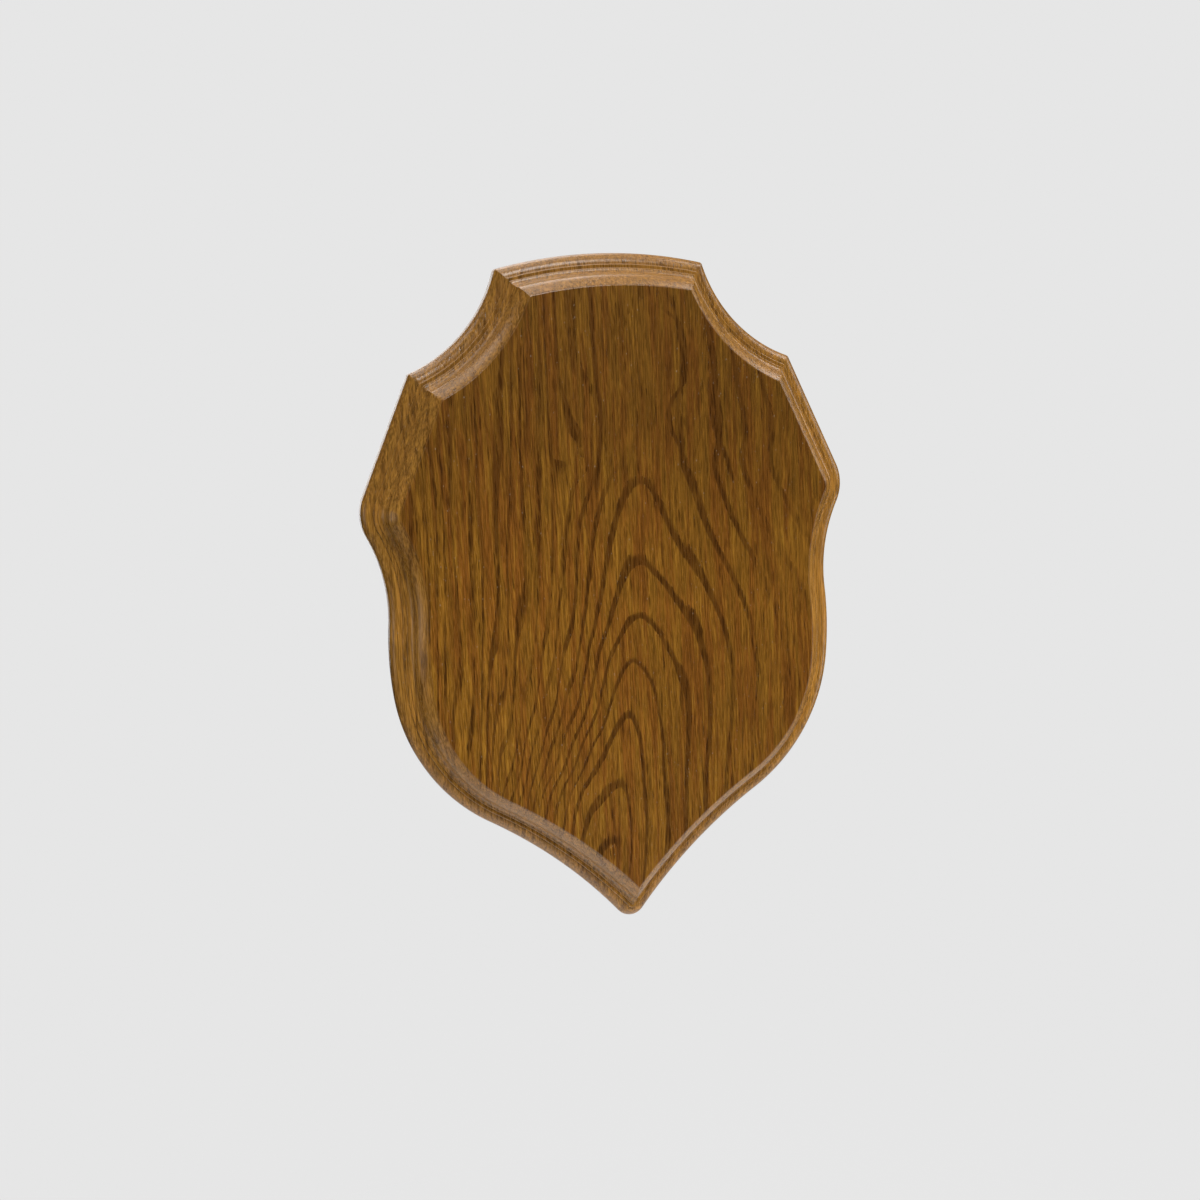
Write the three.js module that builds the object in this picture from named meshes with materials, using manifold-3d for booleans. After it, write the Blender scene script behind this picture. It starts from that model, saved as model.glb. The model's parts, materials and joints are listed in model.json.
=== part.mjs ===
// Trophy mounting plaque: one oak board cut to a shield outline, its whole edge worked to a stepped
// moulding, with a keyhole slot in its flat back to hang it by.
// Millimetres, +Z up and +X to the right of someone who faces the plaque. The flat back lies in the
// plane y = 0, and the field faces -Y. The origin is the middle of the back.
import * as THREE from "three";
import { mergeVertices } from "three/addons/utils/BufferGeometryUtils.js";
import Module from "manifold-3d";

// The board
const HEIGHT = 230; // crown of the top edge to the point
const WIDTH = 170; // across the wings
const THICKNESS = 17; // back to field

// The outline's upper part. A drop is measured down from the crown, and a half width out from the
// middle line.
const CREST_HALF_WIDTH = 35.8; // middle line to a corner of the top edge
const CREST_RISE = 4.1; // the crown above the corners of the top edge
const SHOULDER_HALF_WIDTH = 66.3; // middle line to the corner at the foot of the scoop
const SHOULDER_DROP = 36.6;
const SCOOP_DEPTH = 5.3; // how far the scoop between those two corners is hollowed
const CORNER_ROUND = 1.2; // the four corners, eased

// The outline's sides and lower part
const WING_DROP = 81.6; // the height at which the plaque is widest
const WING_ROUND = 15.8;
const WAIST_RADIUS = 56.5; // the hollow under the wing
const BELLY_HALF_WIDTH = 78.6;
const BELLY_DROP = 130.1; // the height at which the belly is widest
const BELLY_SIDE_RADIUS = 119;
const BELLY_TURN = 6.4; // degrees below the widest place, where the tighter radius takes over
const BELLY_LOWER_RADIUS = 62;
const KEEL_RADIUS = 178; // the long hollow that runs down to the point
const POINT_ROUND = 5.7;

// The edge moulding, from the outside in: a lower round, two small steps with a fillet between them,
// a cove, and an upper round that ends in a crisp arris against the field.
const BACK_EASE = 0.5;
const LOWER_ROUND_RADIUS = 3.7;
const FIRST_STEP = 0.8;
const FILLET_WIDTH = 1.2;
const SECOND_STEP = 0.55;
const STEP_BATTER = 0.12; // how far each step leans in as it rises
const COVE_WIDTH = 2.3;
const COVE_DEPTH = 3.6;
const UPPER_ROUND_WIDTH = 3.7;
const UPPER_ROUND_DEPTH = 4.35;
const UPPER_ROUND_FOOT = 72; // degrees, its slope where it leaves the cove

// The keyhole slot in the back
const KEYHOLE_TOP_DROP = 46; // the slot's upper end, below the crown
const KEYHOLE_DEPTH = 9;
const KEYHOLE_LIP = 3.5; // the wood that the screw head bears behind
const SCREW_HEAD_HOLE = 9.5; // diameter
const SCREW_SHANK_SLOT = 5;
const KEYHOLE_TRAVEL = 13; // how far the plaque drops onto its screw

// Facets
const CREST_STEPS = 14;
const CORNER_STEPS = 2;
const SCOOP_STEPS = 12;
const SIDE_STEPS = 2;
const WING_STEPS = 8;
const WAIST_STEPS = 8;
const BELLY_SIDE_STEPS = 7;
const BELLY_LOWER_STEPS = 12;
const KEEL_STEPS = 10;
const POINT_STEPS = 6;
const ROUND_FACETS = 5; // across each rounded member of the moulding
const KEYHOLE_FACETS = 7; // in each quarter of the keyhole's round ends
const SMALLEST_ROUND = 0.02; // a round that an inset leaves smaller than this has become a mitre
const MERGE = 1e-4; // points closer than this are one
const CUTTER_OVERRUN = 1; // how far a cutter starts outside the wood

const OAK = 0x8a5a24;

const CROWN = HEIGHT / 2; // z of the top of the plaque
const at = (x, z) => new THREE.Vector2(x, z);
const flipped = (point) => at(-point.x, point.y);
const degrees = THREE.MathUtils.degToRad;

// The moves that an outline is made of, walked clockwise with the wood on the right: a straight line,
// an arc that bulges out of the wood, and an arc that is hollowed into it.
const line = (from, to, steps) => ({ from, to, steps });
const bulge = (centre, radius, from, to, steps) => ({ centre, radius, from, to, steps, turn: -1 });
const hollow = (centre, radius, from, to, steps) => ({ centre, radius, from, to, steps, turn: 1 });

const bearing = (centre, point) => Math.atan2(point.y - centre.y, point.x - centre.x);
const along = (from, to, distance) => to.clone().sub(from).setLength(distance).add(from);

// The same move a distance further into the wood.
function inset(move, distance) {
  if (!move.centre) {
    const run = move.to.clone().sub(move.from).normalize();
    const inwards = at(run.y, -run.x).multiplyScalar(distance);
    return { ...move, from: move.from.clone().add(inwards), to: move.to.clone().add(inwards) };
  }
  return { ...move, radius: move.radius + move.turn * distance };
}

// Where two circles cross, on the side that is nearer to a point.
function circlesMeet(a, radiusA, b, radiusB, near) {
  const apart = a.distanceTo(b);
  const reach = (radiusA ** 2 - radiusB ** 2 + apart ** 2) / (2 * apart);
  const middle = along(a, b, reach);
  const half = Math.sqrt(Math.max(radiusA ** 2 - reach ** 2, 0));
  const across = at(a.y - b.y, b.x - a.x).setLength(half);
  const ends = [middle.clone().add(across), middle.clone().sub(across)];
  return ends.sort((p, q) => p.distanceTo(near) - q.distanceTo(near))[0];
}

// Where a straight move crosses a circle, at the end that is nearer to a point.
function lineMeets(straight, centre, radius, near) {
  const run = straight.to.clone().sub(straight.from).normalize();
  const foot = run.clone().multiplyScalar(centre.clone().sub(straight.from).dot(run)).add(straight.from);
  const half = Math.sqrt(Math.max(radius ** 2 - foot.distanceToSquared(centre), 0));
  const reach = run.multiplyScalar(half);
  const ends = [foot.clone().add(reach), foot.clone().sub(reach)];
  return ends.sort((p, q) => p.distanceTo(near) - q.distanceTo(near))[0];
}

function crossing(a, b, near) {
  if (!a.centre) return lineMeets(a, b.centre, b.radius, near);
  if (!b.centre) return lineMeets(b, a.centre, a.radius, near);
  return circlesMeet(a.centre, a.radius, b.centre, b.radius, near);
}

// The point of a move that is nearest to a point.
function nearestOn(move, point) {
  if (move.centre) return along(move.centre, point, move.radius);
  const run = move.to.clone().sub(move.from).normalize();
  return run.clone().multiplyScalar(point.clone().sub(move.from).dot(run)).add(move.from);
}

// Two moves that meet at a corner, with the corner eased by a small round between them.
function easeCorner(first, second) {
  const centre = crossing(inset(first, CORNER_ROUND), inset(second, CORNER_ROUND), first.to);
  const start = nearestOn(first, centre);
  const end = nearestOn(second, centre);
  const round = bulge(centre, CORNER_ROUND, start, end, CORNER_STEPS);
  first.to = start;
  second.from = end;
  return round;
}

// The arc through two points that stands out from the chord between them, or is hollowed in where the
// rise is negative.
function archBetween(from, to, rise, steps) {
  const chord = to.clone().sub(from);
  const radius = (chord.lengthSq() / 4 + rise ** 2) / (2 * Math.abs(rise));
  const outwards = at(-chord.y, chord.x).normalize();
  const middle = from.clone().add(to).multiplyScalar(0.5);
  const centre = middle.add(outwards.multiplyScalar(rise - Math.sign(rise) * radius));
  return rise > 0 ? bulge(centre, radius, from, to, steps) : hollow(centre, radius, from, to, steps);
}

// The outline's right side, from the crest's corner down to the point's round, and the crest itself.
function rightSide() {
  const crestCorner = at(CREST_HALF_WIDTH, CROWN - CREST_RISE);
  const shoulder = at(SHOULDER_HALF_WIDTH, CROWN - SHOULDER_DROP);
  const crest = archBetween(flipped(crestCorner), crestCorner, CREST_RISE, CREST_STEPS);
  const scoop = archBetween(crestCorner, shoulder, -SCOOP_DEPTH, SCOOP_STEPS);

  // The side runs straight from the shoulder until it touches the wing's round.
  const wing = at(WIDTH / 2 - WING_ROUND, CROWN - WING_DROP);
  const gap = wing.distanceTo(shoulder);
  const heading = bearing(shoulder, wing) + Math.asin(WING_ROUND / gap);
  const run = Math.sqrt(gap ** 2 - WING_ROUND ** 2);
  const wingStart = at(Math.cos(heading), Math.sin(heading)).multiplyScalar(run).add(shoulder);
  const side = line(shoulder, wingStart, SIDE_STEPS);

  // The waist is a hollow that touches the wing's round and the belly.
  const belly = at(BELLY_HALF_WIDTH - BELLY_SIDE_RADIUS, CROWN - BELLY_DROP);
  const rightOfBoth = at(WIDTH, (wing.y + belly.y) / 2);
  const waistFromWing = WING_ROUND + WAIST_RADIUS;
  const waistFromBelly = BELLY_SIDE_RADIUS + WAIST_RADIUS;
  const waist = circlesMeet(wing, waistFromWing, belly, waistFromBelly, rightOfBoth);
  const wingEnd = along(wing, waist, WING_ROUND);
  const bellyStart = along(belly, waist, BELLY_SIDE_RADIUS);

  // Below its widest place the belly turns in by a tighter radius.
  const turn = degrees(-BELLY_TURN);
  const towardsTurn = at(Math.cos(turn), Math.sin(turn));
  const bellyTurn = towardsTurn.clone().multiplyScalar(BELLY_SIDE_RADIUS).add(belly);
  const lower = towardsTurn.multiplyScalar(BELLY_SIDE_RADIUS - BELLY_LOWER_RADIUS).add(belly);

  // The keel is a long hollow that touches the belly and the point's round.
  const point = at(0, CROWN - HEIGHT + POINT_ROUND);
  const belowBoth = at(WIDTH, -HEIGHT);
  const keelFromBelly = BELLY_LOWER_RADIUS + KEEL_RADIUS;
  const keelFromPoint = POINT_ROUND + KEEL_RADIUS;
  const keel = circlesMeet(lower, keelFromBelly, point, keelFromPoint, belowBoth);
  const bellyEnd = along(lower, keel, BELLY_LOWER_RADIUS);
  const keelEnd = along(point, keel, POINT_ROUND);

  const crestRound = easeCorner(crest, scoop);
  const shoulderRound = easeCorner(scoop, side);
  crest.from = flipped(crest.to);
  const moves = [
    crestRound,
    scoop,
    shoulderRound,
    side,
    bulge(wing, WING_ROUND, wingStart, wingEnd, WING_STEPS),
    hollow(waist, WAIST_RADIUS, wingEnd, bellyStart, WAIST_STEPS),
    bulge(belly, BELLY_SIDE_RADIUS, bellyStart, bellyTurn, BELLY_SIDE_STEPS),
    bulge(lower, BELLY_LOWER_RADIUS, bellyTurn, bellyEnd, BELLY_LOWER_STEPS),
    hollow(keel, KEEL_RADIUS, bellyEnd, keelEnd, KEEL_STEPS),
  ];
  const tip = bulge(point, POINT_ROUND, keelEnd, flipped(keelEnd), POINT_STEPS);
  return { crest, moves, tip };
}

const mirrored = (move) => ({
  ...move,
  from: flipped(move.to),
  to: flipped(move.from),
  ...(move.centre && { centre: flipped(move.centre) }),
});

function shieldOutline() {
  const { crest, moves, tip } = rightSide();
  return [crest, ...moves, tip, ...moves.map(mirrored).reverse()];
}

// The points of the outline moved into the wood by a distance. Neighbouring moves are cut off where
// they cross, and a round that the inset uses up becomes one mitre point, repeated so that every ring
// has as many points.
function ring(outline, distance) {
  const moved = outline.map((move) => inset(move, distance));
  const usedUp = (move) => move.centre !== undefined && move.radius < SMALLEST_ROUND;
  const count = moved.length;
  const starts = [];
  const ends = [];
  moved.forEach((move, i) => {
    if (usedUp(move)) return;
    let next = (i + 1) % count;
    while (usedUp(moved[next])) next = (next + 1) % count;
    const meeting = crossing(move, moved[next], outline[i].to);
    ends[i] = meeting;
    for (let k = (i + 1) % count; k !== next; k = (k + 1) % count) starts[k] = meeting;
    starts[next] = meeting;
  });
  return moved.flatMap((move, i) =>
    Array.from({ length: move.steps }, (_, step) =>
      step === 0 || usedUp(move) ? starts[i] : pointOf(move, starts[i], ends[i], step / move.steps),
    ),
  );
}

// The point a share of the way along a move that has been cut off at two points.
function pointOf(move, from, to, share) {
  if (!move.centre) return from.clone().lerp(to, share);
  const { centre, radius, turn } = move;
  const angles = [bearing(centre, from), bearing(centre, to)];
  return new THREE.EllipseCurve(centre.x, centre.y, radius, radius, ...angles, turn < 0).getPoint(share);
}

// The moulding's profile: the distance into the wood and the height over the back of each arris and
// facet.
function edgeProfile() {
  const mouldingDepth = LOWER_ROUND_RADIUS + FIRST_STEP + SECOND_STEP + COVE_DEPTH + UPPER_ROUND_DEPTH;
  const wall = THICKNESS - mouldingDepth;
  const profile = new THREE.Path();
  profile.moveTo(BACK_EASE, 0);
  profile.lineTo(0, BACK_EASE);
  profile.lineTo(0, wall);
  profile.absarc(LOWER_ROUND_RADIUS, wall, LOWER_ROUND_RADIUS, Math.PI, Math.PI / 2, true);
  const pen = at(LOWER_ROUND_RADIUS, wall + LOWER_ROUND_RADIUS);
  const drawTo = (inwards, upwards) => {
    pen.set(pen.x + inwards, pen.y + upwards);
    profile.lineTo(pen.x, pen.y);
  };
  drawTo(STEP_BATTER, FIRST_STEP);
  drawTo(FILLET_WIDTH, 0);
  drawTo(STEP_BATTER, SECOND_STEP);
  profile.absellipse(pen.x, pen.y + COVE_DEPTH, COVE_WIDTH, COVE_DEPTH, -Math.PI / 2, 0, false);
  pen.set(pen.x + COVE_WIDTH, pen.y + COVE_DEPTH);
  const foot = degrees(UPPER_ROUND_FOOT);
  const bend = at(pen.x + UPPER_ROUND_DEPTH / 2 / Math.tan(foot), pen.y + UPPER_ROUND_DEPTH / 2);
  profile.quadraticCurveTo(bend.x, bend.y, pen.x + UPPER_ROUND_WIDTH, pen.y + UPPER_ROUND_DEPTH);
  const facets = (curve) => curve.getPoints(curve.isLineCurve ? 1 : ROUND_FACETS).slice(1);
  return [at(BACK_EASE, 0), ...profile.curves.flatMap(facets)];
}

// A closed body from rings of points at rising heights, each with as many points, and a flat face on
// either end.
function loft(rings) {
  const positions = [];
  const numbered = rings.map(({ points, height }) => {
    let last;
    return points.map((point) => {
      if (point !== last) positions.push(point.x, point.y, height);
      last = point;
      return positions.length / 3 - 1;
    });
  });
  const faces = [];
  const face = (a, b, c) => {
    if (a !== b && b !== c && c !== a) faces.push(a, b, c);
  };
  for (let level = 1; level < numbered.length; level++) {
    const below = numbered[level - 1];
    const above = numbered[level];
    below.forEach((corner, i) => {
      const j = (i + 1) % below.length;
      face(corner, above[i], above[j]);
      face(corner, above[j], below[j]);
    });
  }
  const flat = (numbers, flip) => {
    const own = [...new Set(numbers)].reverse();
    const contour = own.map((n) => at(positions[3 * n], positions[3 * n + 1]));
    THREE.ShapeUtils.triangulateShape(contour, []).forEach((corners) => {
      const [a, b, c] = corners.map((k) => own[k]);
      if (flip) face(a, c, b);
      else face(a, b, c);
    });
  };
  flat(numbered[0], true);
  flat(numbered[numbered.length - 1], false);
  const geometry = new THREE.BufferGeometry();
  geometry.setAttribute("position", new THREE.Float32BufferAttribute(positions, 3));
  geometry.setIndex(faces);
  return geometry;
}

// The keyhole's two cutters: the plain slot that opens at the back, and the wider pocket behind its lip.
function keyholeCutters() {
  const slot = SCREW_SHANK_SLOT / 2;
  const head = SCREW_HEAD_HOLE / 2;
  const seat = CROWN - KEYHOLE_TOP_DROP - slot; // where the screw ends up
  const entry = seat - KEYHOLE_TRAVEL; // where it goes in
  const mouth = Math.acos(slot / head); // bearing of the corner between the hole and the slot
  const opening = new THREE.Shape();
  opening.absarc(0, seat, slot, 0, Math.PI, false);
  opening.absarc(0, entry, head, Math.PI - mouth, 2 * Math.PI + mouth, false);
  const pocket = new THREE.Shape();
  pocket.absarc(0, seat, head, 0, Math.PI, false);
  pocket.absarc(0, entry, head, Math.PI, 2 * Math.PI, false);
  const insidePocket = (KEYHOLE_LIP + KEYHOLE_DEPTH) / 2;
  return [cutter(opening, -CUTTER_OVERRUN, insidePocket), cutter(pocket, KEYHOLE_LIP, KEYHOLE_DEPTH)];
}

// A shape drawn on the back, to be cut away from one depth to another.
function cutter(shape, from, to) {
  const geometry = new THREE.ExtrudeGeometry(shape, {
    depth: to - from,
    bevelEnabled: false,
    curveSegments: KEYHOLE_FACETS,
  });
  return geometry.translate(0, 0, from);
}

const wasm = await Module();
wasm.setup();

function toSolid(geometry) {
  geometry.deleteAttribute("normal");
  geometry.deleteAttribute("uv");
  const merged = mergeVertices(geometry, MERGE);
  const vertProperties = merged.getAttribute("position").array;
  const triVerts = new Uint32Array(merged.index.array);
  return new wasm.Manifold(new wasm.Mesh({ numProp: 3, vertProperties, triVerts }));
}

function toGeometry(solid) {
  const { vertProperties, triVerts } = solid.getMesh();
  const geometry = new THREE.BufferGeometry();
  geometry.setAttribute("position", new THREE.BufferAttribute(vertProperties, 3));
  geometry.setIndex(new THREE.BufferAttribute(triVerts, 1));
  return geometry;
}

// The board is drawn lying on its back, and then stood up with its back to the wall.
function board() {
  const outline = shieldOutline();
  const rings = edgeProfile().map(({ x, y }) => ({ points: ring(outline, x), height: y }));
  const whole = toSolid(loft(rings));
  const slotted = keyholeCutters().reduce((solid, tool) => solid.subtract(toSolid(tool)), whole);
  return toGeometry(slotted).rotateX(Math.PI / 2);
}

const oak = new THREE.MeshStandardMaterial({ color: OAK, roughness: 0.45, metalness: 0 });
const plaque = new THREE.Mesh(board(), oak);
plaque.name = "plaque";

const group = new THREE.Group();
group.add(plaque);
export default group;
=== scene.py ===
"""Trophy mounting plaque: a shield of stained and lacquered oak with a stepped moulding round its edge.

The plaque hangs with its flat back at y = 0 and its field facing -Y. Lengths are in metres, and the
wood's nodes count in millimetres. A point of the outline is a complex number: x to the right, and z
up as its imaginary part.
"""

import cmath
import json
import math
from dataclasses import dataclass, replace

import bmesh
import bpy
from bpy.props import FloatProperty, FloatVectorProperty, PointerProperty
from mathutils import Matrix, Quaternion, Vector
from mathutils.geometry import tessellate_polygon

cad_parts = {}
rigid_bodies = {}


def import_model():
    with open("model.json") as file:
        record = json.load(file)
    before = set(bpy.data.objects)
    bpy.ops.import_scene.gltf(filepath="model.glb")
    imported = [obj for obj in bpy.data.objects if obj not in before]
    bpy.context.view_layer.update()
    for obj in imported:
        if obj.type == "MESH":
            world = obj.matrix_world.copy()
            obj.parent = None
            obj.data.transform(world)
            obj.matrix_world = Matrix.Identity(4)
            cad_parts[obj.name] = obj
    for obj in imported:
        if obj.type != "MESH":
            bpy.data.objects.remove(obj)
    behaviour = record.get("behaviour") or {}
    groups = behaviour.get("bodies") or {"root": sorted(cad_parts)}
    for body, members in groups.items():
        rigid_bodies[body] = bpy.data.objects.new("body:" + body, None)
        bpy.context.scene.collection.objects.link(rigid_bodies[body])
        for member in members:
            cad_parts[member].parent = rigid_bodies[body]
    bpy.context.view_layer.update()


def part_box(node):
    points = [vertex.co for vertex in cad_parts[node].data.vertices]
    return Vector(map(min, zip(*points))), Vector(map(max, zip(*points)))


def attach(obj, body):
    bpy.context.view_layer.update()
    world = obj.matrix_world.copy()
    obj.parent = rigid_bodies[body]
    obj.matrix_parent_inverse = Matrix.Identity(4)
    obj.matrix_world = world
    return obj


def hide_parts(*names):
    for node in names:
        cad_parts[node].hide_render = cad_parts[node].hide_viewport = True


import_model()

bl_info = {
    "name": "Trophy Mounting Plaque",
    "version": (1, 0, 0),
    "blender": (4, 5, 0),
    "location": "View3D > Sidebar > Plaque",
    "description": "Makes a moulded oak plaque and the studio that it is shown in",
    "category": "Add Mesh",
}

MM = 0.001
PER_MM = 1 / MM
LOWEST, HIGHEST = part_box("plaque")
BOARD_HEIGHT = HIGHEST.z - LOWEST.z
BOARD_WIDTH = HIGHEST.x - LOWEST.x
BOARD_THICKNESS = HIGHEST.y - LOWEST.y


# Settings


def size(name, description, default):
    return FloatProperty(name=name, description=description, default=default, unit="LENGTH")


def angle(name, description, degrees):
    default = math.radians(degrees)
    return FloatProperty(name=name, description=description, default=default, subtype="ANGLE")


def tint(name, description, default):
    return FloatVectorProperty(name=name, description=description, default=default, subtype="COLOR")


class OutlineSettings(bpy.types.PropertyGroup):
    """The shield's outline. A drop is measured down from the crown, and a half width from the middle."""

    height: size("Height", "Crown of the top edge to the point", BOARD_HEIGHT)
    width: size("Width", "Across the wings", BOARD_WIDTH)
    crest_half_width: size("Crest half width", "Middle line to a corner of the top edge", 35.8 * MM)
    crest_rise: size("Crest rise", "The crown above the corners of the top edge", 4.1 * MM)
    shoulder_half_width: size("Shoulder half width", "Middle line to the corner under the scoop", 66.3 * MM)
    shoulder_drop: size("Shoulder drop", "Crown to the corner at the foot of the scoop", 36.6 * MM)
    scoop_depth: size("Scoop depth", "How far the scoop under the top edge is hollowed", 5.3 * MM)
    corner_round: size("Corner round", "Radius that eases the four corners", 1.2 * MM)
    wing_drop: size("Wing drop", "Crown to the height at which the plaque is widest", 81.6 * MM)
    wing_round: size("Wing round", "Radius of the wings", 15.8 * MM)
    waist_radius: size("Waist radius", "Radius of the hollow under a wing", 56.5 * MM)
    belly_half_width: size("Belly half width", "Middle line to the widest place of the belly", 78.6 * MM)
    belly_drop: size("Belly drop", "Crown to the widest place of the belly", 130.1 * MM)
    belly_side_radius: size("Belly side radius", "Radius of the belly about its widest place", 119 * MM)
    belly_turn: angle("Belly turn", "Angle below the widest place where the tighter radius starts", 6.4)
    belly_lower_radius: size("Belly lower radius", "Radius of the belly where it turns in", 62 * MM)
    keel_radius: size("Keel radius", "Radius of the long hollow that runs down to the point", 178 * MM)
    point_round: size("Point round", "Radius of the point", 5.7 * MM)


class MouldingSettings(bpy.types.PropertyGroup):
    """The stepped moulding, member by member from the back to the field."""

    thickness: size("Thickness", "Back to field", BOARD_THICKNESS)
    back_ease: size("Back ease", "Chamfer between the back and the edge", 0.5 * MM)
    lower_round: size("Lower round", "Radius of the outer round", 3.7 * MM)
    first_step: size("First step", "Rise from the lower round to the fillet", 0.8 * MM)
    fillet_width: size("Fillet width", "Flat between the two steps", 1.2 * MM)
    second_step: size("Second step", "Rise from the fillet to the cove", 0.55 * MM)
    step_batter: size("Step batter", "How far each step leans in as it rises", 0.12 * MM)
    cove_width: size("Cove width", "How far the cove runs in", 2.3 * MM)
    cove_depth: size("Cove depth", "How far the cove rises", 3.6 * MM)
    upper_round_width: size("Upper round width", "How far the upper round runs in", 3.7 * MM)
    upper_round_depth: size("Upper round depth", "How far the upper round rises", 4.35 * MM)
    upper_round_foot: angle("Upper round foot", "Slope of the upper round where it leaves the cove", 72)
    arris_ease: size("Arris ease", "How far sanding and lacquer have softened each arris", 0.24 * MM)
    nook_fill: size("Nook fill", "How far lacquer fills each inner corner", 0.12 * MM)


class KeyholeSettings(bpy.types.PropertyGroup):
    """The keyhole slot in the back, which a screw head on the wall drops into."""

    top_drop: size("Top drop", "Crown to the upper end of the slot", 46 * MM)
    depth: size("Depth", "How deep the keyhole is routed", 9 * MM)
    lip: size("Lip", "Wood that the screw head bears behind", 3.5 * MM)
    head_hole: size("Head hole", "Diameter that lets the screw head in", 9.5 * MM)
    shank_slot: size("Shank slot", "Width that the screw's shank slides along", 5 * MM)
    travel: size("Travel", "How far the plaque drops onto its screw", 13 * MM)
    mouth_ease: size("Mouth ease", "Edge sanded off the mouth of the keyhole", 0.3 * MM)


class OakSettings(bpy.types.PropertyGroup):
    """The colours of the oak and its stain, two of which also stand in for painted shade and painted sheen.
    """

    late_wood: tint("Late wood", "Dense wood between the pore rows", (0.25, 0.107, 0.0115))
    red_wood: tint("Red wood", "Broad streaks of redder wood", (0.212, 0.076, 0.009))
    gold_wood: tint("Gold wood", "Narrow streaks of yellower wood", (0.3, 0.148, 0.016))
    early_wood: tint("Early wood", "Open wood of the pore rows, dark with stain", (0.085, 0.03, 0.0035))
    # Stain in the pores, also mixed into the moulding's inner corners as painted shade.
    pore_and_nook_shade: tint("Pore", "Stain gathered in the pores", (0.03, 0.01, 0.002))
    # The shaped edge is mixed towards this lighter, yellower colour.
    shaped_wood: tint(
        "Shaped wood",
        "What the shaped edge, where the cutter's polish keeps stain out, is mixed with",
        (0.42, 0.2, 0.036),
    )
    # Partly the end grain's own colour and partly painted sheen, a greyish haze.
    end_grain_and_sheen: tint("End grain", "Wood cut across its fibres", (0.26, 0.135, 0.06))
    worn: tint("Worn arris", "Wood where the stain is sanded thin", (0.42, 0.235, 0.085))
    dust: tint("Dust", "Specks caught in the lacquer", (0.5, 0.4, 0.3))


class StudioSettings(bpy.types.PropertyGroup):
    """The floor, the surroundings and the camera."""

    backdrop: tint("Backdrop", "Colour of the surroundings and the floor", (0.791, 0.791, 0.791))
    floor_drop: size("Floor drop", "How far the floor lies under the middle of the plaque", 0.62)
    azimuth: angle("Azimuth", "Bearing of the camera round the plaque, 0 straight in front", -15.816)
    elevation: angle("Elevation", "Height of the camera over the horizon", 9.147)
    roll: angle("Roll", "Turn of the camera about its own line of sight", -2.832)
    distance: size("Distance", "Camera to the point that it looks at", 521.5 * MM)
    look_at: FloatVectorProperty(
        name="Look at",
        description="The point in the middle of the picture",
        default=(-4.28 * MM, 0.0, -1.9 * MM),
        subtype="TRANSLATION",
    )
    focal_length: FloatProperty(
        name="Focal length",
        description="Of the lens, on a 36 mm sensor, in millimetres",
        default=45.21,
    )


# Outline

ARC_STEP = 0.85 * MM  # length of the pieces that the outline's stretches are divided into
SMALLEST_ROUND = 0.02 * MM  # a round that an inset leaves smaller than this has become a mitre


@dataclass
class Stretch:
    """Part of an outline, walked clockwise with the wood on the right.

    turn is 0 for a straight line, -1 for an arc that bulges out and 1 for one that is hollowed in.
    """

    start: complex
    end: complex
    centre: complex | None = None
    radius: float = 0.0
    turn: int = 0
    steps: int = 1


def bulge(centre, radius, start, end):
    return Stretch(start, end, centre, radius, -1)


def hollow(centre, radius, start, end):
    return Stretch(start, end, centre, radius, 1)


def flipped(point):
    """The point's mirror image on the other side of the middle line."""
    return complex(-point.real, point.imag)


def along(start, end, distance):
    """The point a distance from start towards end."""
    return start + (end - start) / abs(end - start) * distance


def inset(stretch, distance):
    """The same stretch a distance further into the wood."""
    if stretch.centre is None:
        inwards = along(0, (stretch.end - stretch.start) * -1j, distance)
        return replace(stretch, start=stretch.start + inwards, end=stretch.end + inwards)
    return replace(stretch, radius=stretch.radius + stretch.turn * distance)


def circles_meet(a, radius_a, b, radius_b, near):
    """Where two circles cross, on the side that is nearer to a point."""
    apart = abs(b - a)
    reach = (radius_a**2 - radius_b**2 + apart**2) / (2 * apart)
    half = math.sqrt(max(radius_a**2 - reach**2, 0.0))
    middle = along(a, b, reach)
    across = along(0, (b - a) * 1j, half)
    return min((middle + across, middle - across), key=lambda point: abs(point - near))


def line_meets(straight, centre, radius, near):
    """Where a straight stretch crosses a circle, at the end that is nearer to a point."""
    foot = nearest_on(straight, centre)
    half = math.sqrt(max(radius**2 - abs(centre - foot) ** 2, 0.0))
    reach = along(0, straight.end - straight.start, half)
    return min((foot + reach, foot - reach), key=lambda point: abs(point - near))


def crossing(a, b, near):
    if a.centre is None:
        return line_meets(a, b.centre, b.radius, near)
    if b.centre is None:
        return line_meets(b, a.centre, a.radius, near)
    return circles_meet(a.centre, a.radius, b.centre, b.radius, near)


def nearest_on(stretch, point):
    """The point of a stretch that is nearest to a point."""
    if stretch.centre is not None:
        return along(stretch.centre, point, stretch.radius)
    run = along(0, stretch.end - stretch.start, 1.0)
    return stretch.start + run * ((point - stretch.start) * run.conjugate()).real


def ease_corner(first, second, radius):
    """Two stretches that meet at a corner, with a small round between them, which is returned."""
    centre = crossing(inset(first, radius), inset(second, radius), first.end)
    first.end = nearest_on(first, centre)
    second.start = nearest_on(second, centre)
    return bulge(centre, radius, first.end, second.start)


def arch_between(start, end, rise):
    """The arc that stands out from the chord between two points, or is hollowed in by a negative rise."""
    chord = end - start
    radius = (abs(chord) ** 2 / 4 + rise**2) / (2 * abs(rise))
    middle = (start + end) / 2
    centre = middle + along(0, chord * 1j, rise - math.copysign(radius, rise))
    make = bulge if rise > 0 else hollow
    return make(centre, radius, start, end)


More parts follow.
